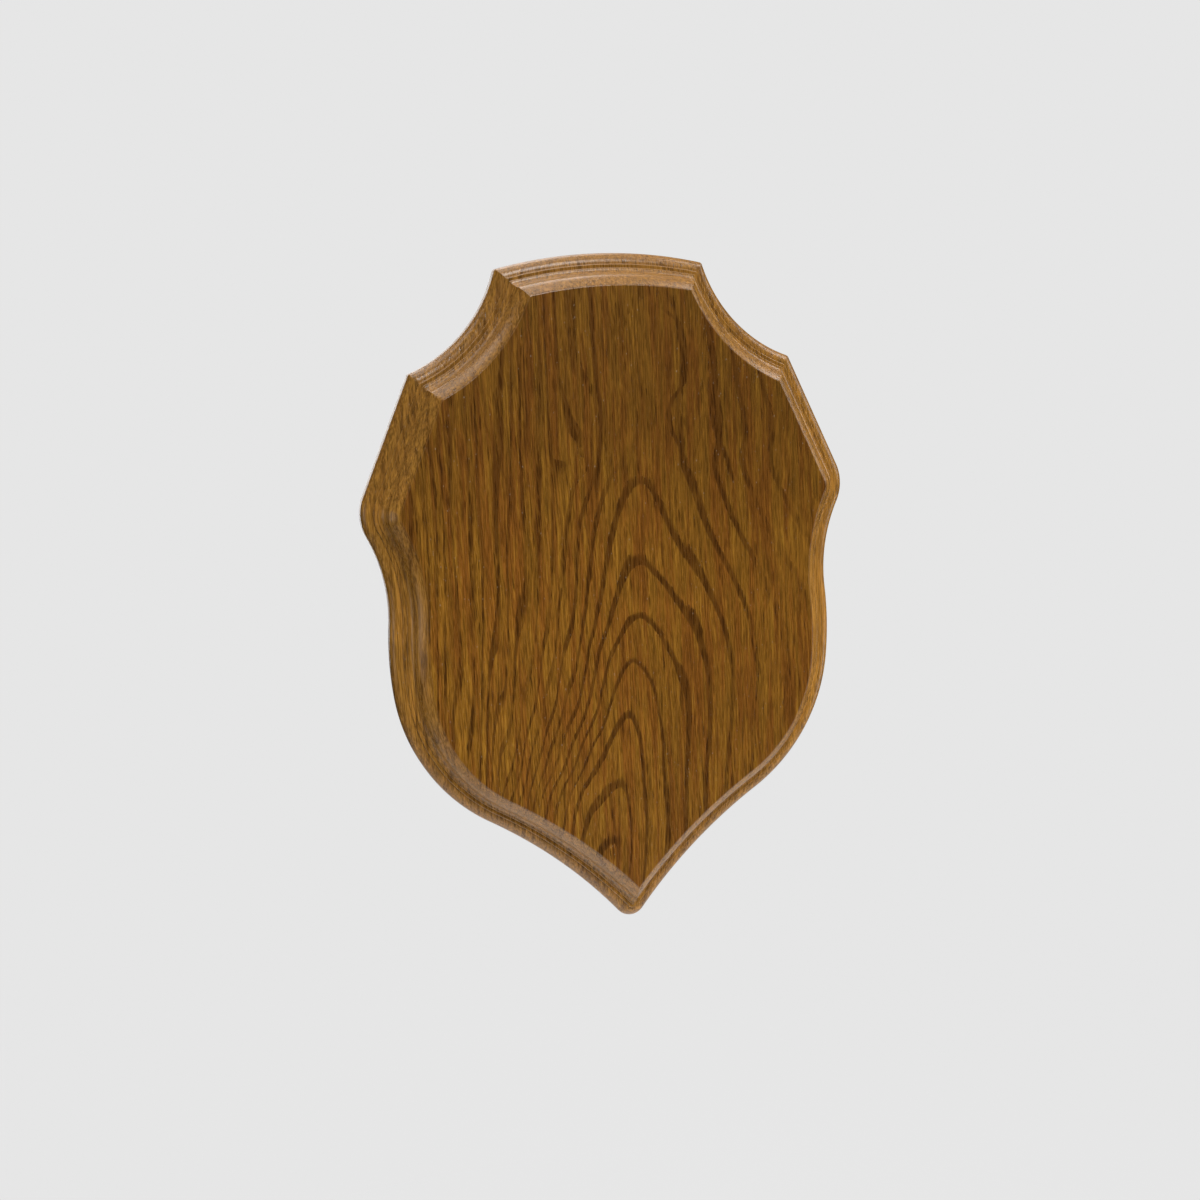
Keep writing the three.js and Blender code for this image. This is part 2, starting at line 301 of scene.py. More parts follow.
def hollow_between(upper, upper_radius, lower, lower_radius, radius, near):
    """The hollow of a radius that touches two bulges, on the side that is nearer to a point."""
    centre = circles_meet(upper, upper_radius + radius, lower, lower_radius + radius, near)
    start = along(upper, centre, upper_radius)
    end = along(lower, centre, lower_radius)
    return hollow(centre, radius, start, end)


def right_side(sizes):
    """The crest, the stretches of the right side and the tip."""
    crown = sizes.height / 2
    crest_corner = complex(sizes.crest_half_width, crown - sizes.crest_rise)
    shoulder = complex(sizes.shoulder_half_width, crown - sizes.shoulder_drop)
    crest = arch_between(flipped(crest_corner), crest_corner, sizes.crest_rise)
    scoop = arch_between(crest_corner, shoulder, -sizes.scoop_depth)

    # The side runs straight from the shoulder until it touches the wing's round.
    wing = complex(sizes.width / 2 - sizes.wing_round, crown - sizes.wing_drop)
    gap = abs(wing - shoulder)
    heading = cmath.phase(wing - shoulder) + math.asin(sizes.wing_round / gap)
    run = math.sqrt(gap**2 - sizes.wing_round**2)
    wing_start = shoulder + cmath.rect(run, heading)
    side = Stretch(shoulder, wing_start)

    # The waist is a hollow that touches the wing's round and the belly.
    belly = complex(sizes.belly_half_width - sizes.belly_side_radius, crown - sizes.belly_drop)
    beside = complex(sizes.width, belly.imag)
    waist = hollow_between(
        wing, sizes.wing_round, belly, sizes.belly_side_radius, sizes.waist_radius, beside
    )

    # Below its widest place the belly turns in by a tighter radius.
    towards_turn = cmath.rect(1.0, -sizes.belly_turn)
    belly_turn = belly + towards_turn * sizes.belly_side_radius
    lower = belly + towards_turn * (sizes.belly_side_radius - sizes.belly_lower_radius)

    # The keel is a long hollow that touches the belly and the point's round.
    point = complex(0, crown - sizes.height + sizes.point_round)
    below = complex(sizes.width, -sizes.height)
    keel = hollow_between(
        lower, sizes.belly_lower_radius, point, sizes.point_round, sizes.keel_radius, below
    )

    crest_round = ease_corner(crest, scoop, sizes.corner_round)
    shoulder_round = ease_corner(scoop, side, sizes.corner_round)
    crest.start = flipped(crest.end)
    stretches = [
        crest_round,
        scoop,
        shoulder_round,
        side,
        bulge(wing, sizes.wing_round, wing_start, waist.start),
        waist,
        bulge(belly, sizes.belly_side_radius, waist.end, belly_turn),
        bulge(lower, sizes.belly_lower_radius, belly_turn, keel.start),
        keel,
    ]
    tip = bulge(point, sizes.point_round, keel.end, flipped(keel.end))
    return crest, stretches, tip


def mirrored(stretch):
    centre = None if stretch.centre is None else flipped(stretch.centre)
    return replace(stretch, start=flipped(stretch.end), end=flipped(stretch.start), centre=centre)


def length_of(stretch):
    if stretch.centre is None:
        return abs(stretch.end - stretch.start)
    return abs(sweep(stretch, stretch.start, stretch.end)) * stretch.radius


def sweep(stretch, start, end):
    """The signed angle from one point of an arc to another."""
    return cmath.phase((end - stretch.centre) / (start - stretch.centre))


def shield_outline(sizes):
    crest, stretches, tip = right_side(sizes)
    outline = [crest, *stretches, tip, *map(mirrored, reversed(stretches))]
    return [replace(stretch, steps=math.ceil(length_of(stretch) / ARC_STEP) + 1) for stretch in outline]


def point_of(stretch, start, end, share):
    """The point a share of the way along a stretch that has been cut off at two points."""
    if stretch.centre is None:
        return start + (end - start) * share
    turned = cmath.rect(1.0, sweep(stretch, start, end) * share)
    return stretch.centre + (start - stretch.centre) * turned


def ring(outline, distance):
    """The points of the outline moved into the wood by a distance.

    Neighbouring stretches are cut off where they cross. A round that the inset uses up becomes one
    mitre point, repeated so that every ring has as many points.
    """
    moved = [inset(stretch, distance) for stretch in outline]
    used_up = [stretch.centre is not None and stretch.radius < SMALLEST_ROUND for stretch in moved]
    count = len(moved)
    starts = [None] * count
    ends = [None] * count
    for i, stretch in enumerate(moved):
        if used_up[i]:
            continue
        onwards = 1
        while used_up[(i + onwards) % count]:
            onwards += 1
        ends[i] = crossing(stretch, moved[(i + onwards) % count], outline[i].end)
        for k in range(1, onwards + 1):
            starts[(i + k) % count] = ends[i]
    points = []
    for i, stretch in enumerate(moved):
        for step in range(stretch.steps):
            share = step / stretch.steps
            whole = used_up[i] or step == 0
            points.append(starts[i] if whole else point_of(stretch, starts[i], ends[i], share))
    return points


# Moulding profile

ROUND_STEPS = 12  # across each rounded member
EASE_STEPS = 5  # across each softened arris and filled nook
EASE_LIMIT = 0.45  # most of a member that an ease or a fill may take
FIELD_MARGIN = 0.6 * MM  # a ring on the field that keeps the arris marks to the edge


@dataclass
class ProfilePoint:
    """A point of the moulding's profile: how far into the wood, and how high over the back.

    arris is 1 on an outer corner and nook is 1 in an inner one.
    """

    inwards: float
    height: float
    arris: float = 0.0
    nook: float = 0.0


def curve_points(place):
    """Points of a curve, without its two ends. place gives (inwards, height) for a share from 0 to 1."""
    return [ProfilePoint(*place(step / ROUND_STEPS)) for step in range(1, ROUND_STEPS)]


def bent(start, bend, end, share):
    """A place on the quadratic curve from start to end that leans towards bend."""
    return (1 - share) ** 2 * start + 2 * share * (1 - share) * bend + share**2 * end


def sharp_profile(sizes):
    """The profile with true corners, from the back to the field."""
    steps = sizes.first_step + sizes.second_step
    wall = sizes.thickness - sizes.lower_round - steps - sizes.cove_depth - sizes.upper_round_depth
    points = [
        ProfilePoint(sizes.back_ease, 0.0, arris=1.0),
        ProfilePoint(0.0, sizes.back_ease, arris=1.0),
        ProfilePoint(0.0, wall),
    ]

    radius = sizes.lower_round
    quarter = math.pi / 2
    points += curve_points(
        lambda share: (
            radius * (1 - math.cos(quarter * share)),
            wall + radius * math.sin(quarter * share),
        )
    )

    x, y = radius, wall + radius
    points.append(ProfilePoint(x, y, nook=1.0))
    x, y = x + sizes.step_batter, y + sizes.first_step
    points.append(ProfilePoint(x, y, arris=1.0))
    x += sizes.fillet_width
    points.append(ProfilePoint(x, y, nook=1.0))
    x, y = x + sizes.step_batter, y + sizes.second_step
    points.append(ProfilePoint(x, y, arris=1.0))

    foot_x, foot_y = x, y
    points += curve_points(
        lambda share: (
            foot_x + sizes.cove_width * math.sin(quarter * share),
            foot_y + sizes.cove_depth * (1 - math.cos(quarter * share)),
        )
    )
    x, y = x + sizes.cove_width, y + sizes.cove_depth
    points.append(ProfilePoint(x, y))

    # The upper round leaves the cove at its foot angle.
    start_x, start_y = x, y
    bend_x = start_x + sizes.upper_round_depth / 2 / math.tan(sizes.upper_round_foot)
    end_x = start_x + sizes.upper_round_width
    points += curve_points(
        lambda share: (bent(start_x, bend_x, end_x, share), start_y + sizes.upper_round_depth * share)
    )
    points.append(ProfilePoint(end_x, sizes.thickness, arris=1.0))
    points.append(ProfilePoint(end_x + FIELD_MARGIN, sizes.thickness))
    return points


def edge_profile(sizes):
    """The profile with each arris softened and each nook filled."""
    sharp = sharp_profile(sizes)
    points = [replace(sharp[0], arris=0.0)]
    for before, here, after in zip(sharp, sharp[1:], sharp[2:]):
        reach = sizes.arris_ease if here.arris else sizes.nook_fill
        if not here.arris and not here.nook:
            points.append(here)
            continue
        corner = complex(here.inwards, here.height)
        towards = [complex(p.inwards, p.height) for p in (before, after)]
        start, end = (along(corner, p, min(reach, abs(p - corner) * EASE_LIMIT)) for p in towards)
        for step in range(EASE_STEPS + 1):
            share = step / EASE_STEPS
            place = bent(start, corner, end, share)
            marked = math.sin(math.pi * share)
            points.append(ProfilePoint(place.real, place.imag, here.arris * marked, here.nook * marked))
    return [*points, sharp[-1]]


# Plaque

LACQUERED, BACK, ROUTED = range(3)  # material slots
KEYHOLE_STEPS = 24  # in each round end of the keyhole
SHARP_ANGLE = math.radians(32)  # edges that turn more than this stay crisp


class Shell:
    """The points and faces of one closed body, with the marks that its finish reads."""

    def __init__(self):
        self.points = []
        self.arris = []
        self.nook = []
        self.faces = []
        self.finishes = []

    def loop(self, points, height, arris=0.0, nook=0.0):
        """Adds a closed loop at a height over the back. A point repeated in it is added once."""
        numbers = []
        last = None
        for point in points:
            if point != last:
                self.points.append((point.real, -height, point.imag))
                self.arris.append(arris)
                self.nook.append(nook)
            last = point
            numbers.append(len(self.points) - 1)
        return numbers

    def face(self, numbers, finish):
        own = list(dict.fromkeys(numbers))
        if len(own) > 2:
            self.faces.append(own)
            self.finishes.append(finish)

    def wall(self, below, above, finish):
        """Joins two loops that have as many points."""
        for i, corner in enumerate(below):
            j = (i + 1) % len(below)
            self.face((corner, above[i], above[j], below[j]), finish)

    def flat(self, loops, finish):
        """Fills the ground between an outer loop and the loops inside it."""
        own = [list(dict.fromkeys(numbers)) for numbers in loops]
        if len(own) == 1:
            self.face(own[0], finish)
            return
        corners = [[Vector(self.points[n]) for n in numbers] for numbers in own]
        flat_numbers = [n for numbers in own for n in numbers]
        triangles = tessellate_polygon(corners)
        for triangle in triangles:
            self.face([flat_numbers[k] for k in triangle], finish)


def keyhole_runs(sizes, crown, grow=0.0):
    """Clockwise runs of points: the mouth's upper part, that of the wider pocket behind the lip, and the
    round bottom that closes either.
    """
    slot = sizes.shank_slot / 2 + grow
    head = sizes.head_hole / 2 + grow
    seat = complex(0, crown - sizes.top_drop - sizes.shank_slot / 2)
    entry = seat - sizes.travel * 1j
    corner = math.acos(slot / head)  # bearing of the corner between the hole and the slot

    def arc(centre, radius, start, end):
        bearings = [start + (end - start) * k / KEYHOLE_STEPS for k in range(KEYHOLE_STEPS + 1)]
        return [centre + cmath.rect(radius, bearing) for bearing in bearings]

    left_cheek = arc(entry, head, -math.pi, -math.pi - corner)
    right_cheek = arc(entry, head, corner, 0.0)
    mouth = left_cheek[1:] + arc(seat, slot, math.pi, 0.0) + right_cheek[:-1]
    pocket = arc(seat, head, math.pi, 0.0)
    bottom = arc(entry, head, 0.0, -math.pi)
    return mouth, pocket, bottom


def plaque_shell(outline_sizes, moulding_sizes, keyhole_sizes):
    shell = Shell()
    outline = shield_outline(outline_sizes)
    loops = []
    for point in edge_profile(moulding_sizes):
        loops.append(shell.loop(ring(outline, point.inwards), point.height, point.arris, point.nook))
    for below, above in zip(loops, loops[1:]):
        shell.wall(below, above, LACQUERED)
    shell.flat([loops[-1]], LACQUERED)

    crown = outline_sizes.height / 2
    eased_mouth, _, eased_bottom = keyhole_runs(keyhole_sizes, crown, keyhole_sizes.mouth_ease)
    mouth, pocket, bottom = keyhole_runs(keyhole_sizes, crown)
    rim = shell.loop(eased_mouth + eased_bottom, 0.0)
    throat = shell.loop(mouth + bottom, keyhole_sizes.mouth_ease)
    lip_mouth = shell.loop(mouth, keyhole_sizes.lip)
    lip_bottom = shell.loop(bottom, keyhole_sizes.lip)
    lip_pocket = shell.loop(pocket, keyhole_sizes.lip)
    pocket_floor = shell.loop(pocket + bottom, keyhole_sizes.depth)
    shell.flat([loops[0], rim], BACK)
    shell.wall(rim, throat, ROUTED)
    shell.wall(throat, lip_mouth + lip_bottom, ROUTED)
    # The lip ends at the round bottom, so its underside is a horseshoe.
    shell.face([lip_bottom[-1], *lip_pocket, lip_bottom[0], *reversed(lip_mouth)], ROUTED)
    shell.wall(lip_pocket + lip_bottom, pocket_floor, ROUTED)
    shell.flat([pocket_floor], ROUTED)
    return shell


def mesh_from(shell, name):
    mesh = bpy.data.meshes.new(name)
    mesh.from_pydata(shell.points, [], shell.faces)
    mesh.polygons.foreach_set("material_index", shell.finishes)
    for mark, values in (("arris", shell.arris), ("nook", shell.nook)):
        mesh.attributes.new(mark, "FLOAT", "POINT").data.foreach_set("value", values)
    body = bmesh.new()
    body.from_mesh(mesh)
    bmesh.ops.recalc_face_normals(body, faces=body.faces)
    for face in body.faces:
        face.smooth = True
    for edge in body.edges:
        edge.smooth = edge.calc_face_angle(math.pi) < SHARP_ANGLE
    body.to_mesh(mesh)
    body.free()
    if mesh.validate():
        raise RuntimeError(f"the mesh of {name} has faults")
    return mesh


def cleared(kept, name):
    """One of Blender's collections of data, without what it held by this name."""
    old = kept.get(name)
    if old is not None:
        kept.remove(old)
    return kept


def fresh_object(name, data):
    made = cleared(bpy.data.objects, name).new(name, data)
    bpy.context.scene.collection.objects.link(made)
    return made


# Node building


class Wiring:
    """Adds nodes to one tree. Any input takes a number, a colour or another node's output."""

    def __init__(self, tree):
        self.tree = tree

    def node(self, kind, inputs=None, **settings):
        made = self.tree.nodes.new(kind)
        for key, value in settings.items():
            setattr(made, key, value)
        for key, value in (inputs or {}).items():
            self.feed(made.inputs[key], value)
        return made

    def feed(self, socket, value):
        if isinstance(value, bpy.types.NodeSocket):
            self.tree.links.new(value, socket)
        else:
            socket.default_value = value

    def math(self, operation, *values):
        return self.node("ShaderNodeMath", dict(enumerate(values)), operation=operation).outputs[0]

    def times(self, first, *others):
        """The product of all the values."""
        product = first
        for value in others:
            product = self.math("MULTIPLY", product, value)
        return product

    def vector(self, operation, *values):
        return self.node("ShaderNodeVectorMath", dict(enumerate(values)), operation=operation).outputs[0]

    def scaled(self, vector, factor):
        inputs = {0: vector, "Scale": factor}
        return self.node("ShaderNodeVectorMath", inputs, operation="SCALE").outputs[0]

    def length(self, vector):
        return self.node("ShaderNodeVectorMath", {0: vector}, operation="LENGTH").outputs["Value"]

    def split(self, vector):
        return self.node("ShaderNodeSeparateXYZ", {0: vector}).outputs[:3]

    def join(self, x, y, z):
        return self.node("ShaderNodeCombineXYZ", {0: x, 1: y, 2: z}).outputs[0]

    def ramp(self, value, low, high, to_low=0.0, to_high=1.0, smooth=True):
        """value from low to high made into to_low to to_high, and held at both ends."""
        return self.node(
            "ShaderNodeMapRange",
            {0: value, 1: low, 2: high, 3: to_low, 4: to_high},
            interpolation_type="SMOOTHSTEP" if smooth else "LINEAR",
        ).outputs[0]

    def mix(self, share, a, b):
        return self.node("ShaderNodeMix", {0: share, 2: a, 3: b}, data_type="FLOAT").outputs[0]

    def mix_colour(self, share, a, b, blend="MIX"):
        inputs = {0: share, 6: a, 7: b}
        return self.node("ShaderNodeMix", inputs, data_type="RGBA", blend_type=blend).outputs[2]

    def noise(self, vector, detail, roughness=0.5):
        """Noise of about one wave for each unit of the vector, from 0 to 1."""
        return self.node(
            "ShaderNodeTexNoise",
            {"Vector": vector, "Scale": 1.0, "Detail": detail, "Roughness": roughness},
        ).outputs["Fac"]

    def waves(self, vector, across, along, detail):
        """Noise with waves of about these lengths across and along the fibres."""
        return self.noise(self.vector("MULTIPLY", vector, (1 / across, 1 / across, 1 / along)), detail)

    def curve(self, value, points):
        """A value read off a smooth curve through points (value, result)."""
        low, high = points[0][0], points[-1][0]
        results = [result for _, result in points]
        least, most = min(results), max(results)
        curve = self.node("ShaderNodeFloatCurve", {1: self.ramp(value, low, high, smooth=False)})
        marks = curve.mapping.curves[0].points
        while len(marks) < len(points):
            marks.new(0.5, 0.5)
        for mark, (place, result) in zip(marks, points):
            mark.location = ((place - low) / (high - low), (result - least) / (most - least))
        curve.mapping.update()
        return self.ramp(curve.outputs[0], 0.0, 1.0, least, most, smooth=False)


def node_group(name, inputs, outputs):
    """A new shader node group, its wiring, the sockets that come in and those that go out.

    inputs gives each socket's default, and outputs each socket's kind.
    """
    group = cleared(bpy.data.node_groups, name).new(name, "ShaderNodeTree")
    for label, default in inputs.items():
        kind = "Vector" if isinstance(default, tuple) else "Float"
        socket = group.interface.new_socket(label, in_out="INPUT", socket_type=f"NodeSocket{kind}")
        socket.default_value = default
    for label, kind in outputs.items():
        group.interface.new_socket(label, in_out="OUTPUT", socket_type=f"NodeSocket{kind}")
    wiring = Wiring(group)
    coming = wiring.node("NodeGroupInput").outputs
    going = wiring.node("NodeGroupOutput").inputs
    return group, wiring, coming, going


def use_group(wiring, group, inputs):
    """A group placed in another tree, with its own values. Returns its outputs."""
    return wiring.node("ShaderNodeGroup", inputs, node_tree=group).outputs


# Oak
# Lengths in these groups are in millimetres, from the middle of the plaque. The growth rings arch over
# the heart line, where they lie flattest in the field, and run up the left flank in close rows.

HEART_LINE = (  # (z, x)
    (-115, -13), (-82, -8), (-62, -5), (-38, -0.8), (-20, 1.7),
    (-5, 5), (38, 7.5), (62, 19), (80, 17), (115, 17),
)
HEART_RINGS = (  # (z, rings from the middle of the tree to the field)
    (-115, 0.1), (-84, 1), (-65, 2), (-41, 3), (-22, 4), (-7, 5),
    (11, 6), (38, 7), (62, 8), (80, 7.7), (115, 8.6),
)
LEFT_SPACING = (  # (z, from ring to ring on the left of the heart line)
    (-115, 6.3), (-85, 6.3), (-70, 5.6), (-50, 3.7), (-25, 2.75), (-10, 3),
    (20, 3.3), (42, 3.1), (50, 4.1), (70, 5.8), (100, 6.6), (115, 6.8),
)
RIGHT_RINGS = (  # (distance to the right of the heart line, rings passed)
    (0, 0), (5, 1.5), (14, 3.2), (21, 4.05), (30, 5.3), (37, 6.25), (50, 7.7), (110, 13),
)
RIGHT_STRETCH = (  # (z, how far those distances are stretched)
    (-115, 0.93), (-75, 0.93), (-45, 0.97), (-22, 1.02), (-5, 1),
    (20, 0.9), (60, 0.7), (80, 0.62), (115, 0.6),
)
FLANK_RINGS = (  # (z, rings at the inner edge of the flank)
    (-115, 0), (-80, 2.6), (-70, 3), (-54, 5), (-18, 8.4), (0, 9.3), (38, 10), (62, 10.3), (115, 10.8),
)
ROW_SHARE = (  # (distance to the right of the heart line, share of a ring that is early wood)
    (-110, 0.22), (-6, 0.24), (0, 0.09), (8, 0.12), (16, 0.16), (20, 0.26), (26, 0.16), (110, 0.15),
)
ROW_STRENGTH = (  # (distance to the right of the heart line, how dark the rows stand out)
    (-110, 1), (-12, 1), (30, 1), (38, 0.7), (47, 0.3), (110, 0.25),
)
LEFT_STRENGTH = (  # (z, the same for the left of the heart line)
    (-115, 1), (20, 1), (44, 0.4), (50, 0.25), (115, 0.3),
)
DARK_LINES = (  # (z, x) along the mineral streak, which runs out at the top, and two wavering lines
    ((34, -8.5), (42, -8.3), (62, -6.1), (72, -7.2), (100, -7.8), (130, -7.8)),
    ((40, 25.2), (49, 22.2), (61, 18.3), (74, 23.9), (88, 23.3), (93, 20), (98, 11)),
    ((34, 41), (46, 37.8), (57, 33.9), (74, 32.2)),
)
LINE_FADE = 7.0  # length over which a dark line comes and goes
LINE_CORE, LINE_EDGE = 0.4, 1.15  # from the middle of a dark line to where it thins and ends
LEFT_BEGINS, LEFT_ENDS = (-34.0, -28.0), (0.0, 6.0)  # of LEFT_STRENGTH, from the heart line
FLANK_START, FLANK_FULL, FLANK_FAR = 11.0, 27.0, 60.0  # distances to the left of the middle
FLANK_CENTRE = 20.0  # distance to the left of the ring whose row stands upright
FLANK_MIDDLE = 8.0  # that ring's number
FLANK_SPACING = 3.8  # from ring to ring across the flank
FLANK_LEAN = 0.25  # share of its lean that a row keeps at the flank's far side
DEPTH_SPACING = 6.0  # from ring to ring, straight into the board
FLANK_DEPTH_SPACING = 12.0  # the same behind the flank
ORIGIN = (0.0, 0.0, 0.0)
SLOW_WANDER, QUICK_WANDER = (22.0, 70.0), (2.5, 14.0)  # lengths of their waves, across and along
QUICK_SHARE = 0.35  # strength of the quick wander against the slow one
WOBBLE, DRIFT, PATCHES = (6.0, 20.0), (7.0, 70.0), (5.0, 14.0)  # the same for rings and their rows
DRIFT_RINGS = 1.8  # how far the flank's rows drift, in rings
ROW_START = 0.05  # share of a ring over which its row begins
ROW_WIDTHS = (0.75, 1.25)  # narrowest and widest, against ROW_SHARE
FAINT_ROW = 0.65  # strength of the faintest row of the flank
THIN_ROW, THIN_FLANK_ROW, THIN_LINE = 0.75, 0.4, 0.7  # strength left in the patches where each is thin


def fibres_group():
    """Coordinates that follow the wandering fibres: across, behind the field, and along."""
    inputs = {"Position": ORIGIN, "Wander": 1.4, "Board Thickness": 17.0}
    group, w, coming, going = node_group("Fibre Coordinates", inputs, {"Fibres": "Vector"})
    place = w.scaled(coming["Position"], PER_MM)
    x, y, z = w.split(place)
    slow = w.math("SUBTRACT", w.waves(place, *SLOW_WANDER, detail=1.0), 0.5)
    quick = w.math("SUBTRACT", w.waves(place, *QUICK_WANDER, detail=2.0), 0.5)
    sway = w.math("MULTIPLY_ADD", quick, QUICK_SHARE, slow)
    across = w.math("MULTIPLY_ADD", sway, w.times(coming["Wander"], 2.0), x)
    w.feed(going["Fibres"], w.join(across, w.math("ADD", y, coming["Board Thickness"]), z))
    return group


def growth_rings_group():
    """Counts the growth rings, and marks the open early wood that each ring starts with."""
    inputs = {"Fibres": ORIGIN, "Fade Share": 0.1, "Wobble": 0.1}
    outputs = {"Early Wood": "Float", "Ring Tone": "Float"}
    group, w, coming, going = node_group("Growth Rings", inputs, outputs)
    x, behind, z = w.split(coming["Fibres"])

    across = w.math("SUBTRACT", x, w.curve(z, HEART_LINE))
    stretched = w.math("DIVIDE", w.math("MAXIMUM", across, 0.0), w.curve(z, RIGHT_STRETCH))
    right = w.curve(stretched, RIGHT_RINGS)
    left = w.math("DIVIDE", w.math("MINIMUM", across, 0.0), w.curve(z, LEFT_SPACING))
    over = w.math("MULTIPLY_ADD", behind, 1 / DEPTH_SPACING, w.curve(z, HEART_RINGS))
    heart = w.length(w.join(over, right, left))

    outwards = w.times(x, -1.0)
    lean = w.ramp(outwards, FLANK_FULL, FLANK_FAR, 1.0, FLANK_LEAN)
    leaning = w.times(w.math("SUBTRACT", w.curve(z, FLANK_RINGS), FLANK_MIDDLE), lean)
    from_centre = w.math("SUBTRACT", outwards, FLANK_CENTRE)
    upright = w.math("MULTIPLY_ADD", from_centre, 1 / FLANK_SPACING, FLANK_MIDDLE)
    deeper = w.math("MULTIPLY_ADD", behind, 1 / FLANK_DEPTH_SPACING, upright)
    flank = w.math("ADD", leaning, deeper)

    on_flank = w.ramp(outwards, FLANK_START, FLANK_FULL)
    wobble = w.waves(coming["Fibres"], *WOBBLE, detail=2.0)
    drift = w.waves(coming["Fibres"], *DRIFT, detail=0.0)
    drifted = w.times(w.math("SUBTRACT", drift, 0.5), on_flank, DRIFT_RINGS)
    shaken = w.math("MULTIPLY_ADD", w.math("SUBTRACT", wobble, 0.5), coming["Wobble"], drifted)
    rings = w.math("ADD", w.mix(on_flank, heart, flank), shaken)
    share = w.math("FRACT", rings)
    own = w.node("ShaderNodeTexWhiteNoise", {"W": w.math("FLOOR", rings)}, noise_dimensions="1D").outputs
    tone, weight, _ = w.split(own["Color"])

    row_end = w.times(w.curve(across, ROW_SHARE), w.ramp(tone, 0.0, 1.0, *ROW_WIDTHS, smooth=False))
    begun = w.ramp(share, 0.0, ROW_START)
    ended = w.ramp(share, row_end, w.math("ADD", row_end, coming["Fade Share"]), 1.0, 0.0)
    patches = w.waves(coming["Fibres"], *PATCHES, detail=1.0)
    left_of_heart = w.times(w.ramp(across, *LEFT_BEGINS), w.ramp(across, *LEFT_ENDS, 1.0, 0.0))
    strength = w.times(
        w.mix(left_of_heart, 1.0, w.curve(z, LEFT_STRENGTH)),
        w.curve(across, ROW_STRENGTH),
        w.ramp(patches, 0.35, 0.55, w.mix(on_flank, THIN_ROW, THIN_FLANK_ROW), 1.0),
        w.mix(on_flank, 1.0, w.ramp(weight, 0.0, 1.0, FAINT_ROW, 1.0)),
    )
    marks = w.times(begun, ended, strength)
    for line in DARK_LINES:
        bottom, top = line[0][0], line[-1][0]
        away = w.math("ABSOLUTE", w.math("SUBTRACT", x, w.curve(z, line)))
        drawn = w.times(
            w.ramp(z, bottom, bottom + LINE_FADE),
            w.ramp(z, top - LINE_FADE, top, 1.0, 0.0),
            w.ramp(away, LINE_CORE, LINE_EDGE, 1.0, 0.0),
            w.ramp(patches, 0.3, 0.5, THIN_LINE, 1.0),
        )
        marks = w.math("MAXIMUM", marks, drawn)
    w.feed(going["Early Wood"], marks)
    w.feed(going["Ring Tone"], tone)
    return group


PORE_CORE, PORE_RIM = 0.25, 0.5  # from a pore's middle to where it shallows and ends, in widths
SQUARE_CUT = (0.25, 0.75)  # share of the normal along the fibres at which end grain begins and is full
SHAPED_BLEND = 0.3  # depth over which the field passes into the shaped edge
WEAR_PATCH = 3.0  # width of the patches that break up a worn arris


def in_cells(w, coming):
    """The fibres' coordinates, counted in cells of the group's own width and length."""
    cell = w.join(coming["Width"], coming["Width"], coming["Length"])
    return w.vector("DIVIDE", coming["Fibres"], cell)


def pores_group():
    """Vessels cut along their length: slim dashes, as many as the density lets through."""
    inputs = {"Fibres": ORIGIN, "Width": 0.6, "Length": 6.0, "Density": 0.5}
    group, w, coming, going = node_group("Pores", inputs, {"Pore": "Float"})
    cells = w.node("ShaderNodeTexVoronoi", {"Vector": in_cells(w, coming), "Scale": 1.0}).outputs
    chance = w.split(cells["Color"])[0]
    open_here = w.ramp(w.math("SUBTRACT", coming["Density"], chance), -0.03, 0.03)
    hollow_here = w.ramp(cells["Distance"], PORE_CORE, PORE_RIM, 1.0, 0.0)
    w.feed(going["Pore"], w.times(open_here, hollow_here))
    return group


def streaks_group():
    """Long light and dark streaks along the fibres."""
    inputs = {"Fibres": ORIGIN, "Width": 0.5, "Length": 16.0}
    group, w, coming, going = node_group("Fibre Streaks", inputs, {"Streak": "Float"})
    streak = w.noise(in_cells(w, coming), detail=3.0, roughness=0.65)
    w.feed(going["Streak"], w.ramp(streak, 0.3, 0.7, smooth=False))
    return group


def cut_group():
    """How squarely a surface cuts across the fibres, and whether it belongs to the shaped edge."""
    inputs = {"Normal": (0.0, 0.0, 1.0), "Fibres": ORIGIN, "Edge Depth": 0.1}
    outputs = {"End Grain": "Float", "Shaped": "Float"}
    group, w, coming, going = node_group("Cut Direction", inputs, outputs)
    along = w.math("ABSOLUTE", w.split(coming["Normal"])[2])
    behind = w.split(coming["Fibres"])[1]
    shaped_from = coming["Edge Depth"]
    w.feed(going["End Grain"], w.ramp(along, *SQUARE_CUT))
    w.feed(going["Shaped"], w.ramp(behind, shaped_from, w.math("ADD", shaped_from, SHAPED_BLEND)))
    return group


def edge_wear_group():
    """Where an arris has lost its stain, broken up along its length."""
    inputs = {"Position": ORIGIN, "Arris": 0.0, "Amount": 0.6}
    group, w, coming, going = node_group("Edge Wear", inputs, {"Wear": "Float"})
    place = w.scaled(coming["Position"], PER_MM / WEAR_PATCH)
    patches = w.ramp(w.noise(place, detail=3.0), 0.3, 0.6, 0.35, 1.0)
    w.feed(going["Wear"], w.times(w.ramp(coming["Arris"], 0.1, 0.8), patches, coming["Amount"]))
    return group


def rgba(colour):
    return (*colour, 1.0)


def fresh_material(name):
    """A new material with an empty tree, and the tree's wiring."""
    material = cleared(bpy.data.materials, name).new(name)
    material.use_nodes = True
    material.node_tree.nodes.clear()
    return material, Wiring(material.node_tree)


def show(w, shader):
    """Feeds a shader to the tree's material output."""
    out = w.node("ShaderNodeOutputMaterial")
    w.feed(out.inputs["Surface"], shader)


